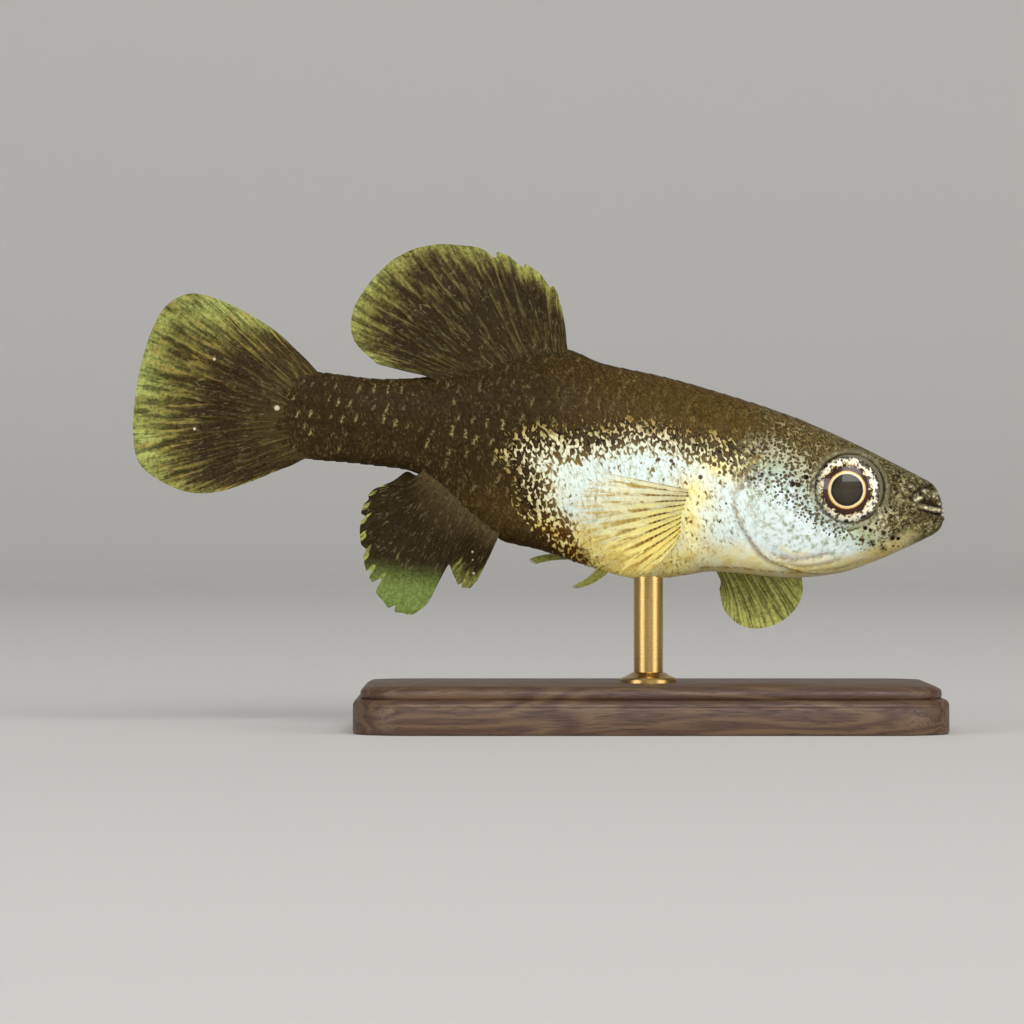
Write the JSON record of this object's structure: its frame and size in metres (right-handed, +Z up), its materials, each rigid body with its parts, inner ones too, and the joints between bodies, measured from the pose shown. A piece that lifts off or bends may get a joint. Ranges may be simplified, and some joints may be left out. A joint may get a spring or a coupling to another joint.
{
  "type": "twoline skiffia fish",
  "caption": "Still, life-size model of a small livebearing fish with spread fins, head a little low, on a flat base with a short rod.",
  "frame": {"origin": "centre of the stand base's underside, below the rod", "axes": "+X ahead of the fish, +Y to its left, +Z up; the fish points 8 degrees down from level"},
  "size_m": [0.0416, 0.017, 0.0249],
  "materials": {
    "skin": "wet fish skin with fine scales, dark olive brown over a silver and gold flank",
    "gill_cover": "silvery skin with a pearly gloss and dark specks",
    "eye": "clear wet gloss over a dark pupil and pale gold rings",
    "olive_fin": "thin olive web over fine rays, yellow green at the edge",
    "gold_fin": "thin cream gold web over dark, jointed rays",
    "stand_wood": "oiled dark wood",
    "stand_metal": "satin brass"
  },
  "bodies": {
    "root": {"head": "skin", "lower_jaw": "skin", "trunk": "skin", "tail_stalk": "skin", "gill_cover_left": "gill_cover", "gill_cover_right": "gill_cover", "eye_left": "eye", "eye_right": "eye", "dorsal_fin": "olive_fin", "anal_fin": "olive_fin", "caudal_fin": "olive_fin", "pectoral_fin_left": "olive_fin", "pelvic_fin_left": "olive_fin", "pelvic_fin_right": "olive_fin", "pectoral_fin_right": "gold_fin", "stand_base": "stand_wood", "stand_rod": "stand_metal"}
  },
  "joints": []
}
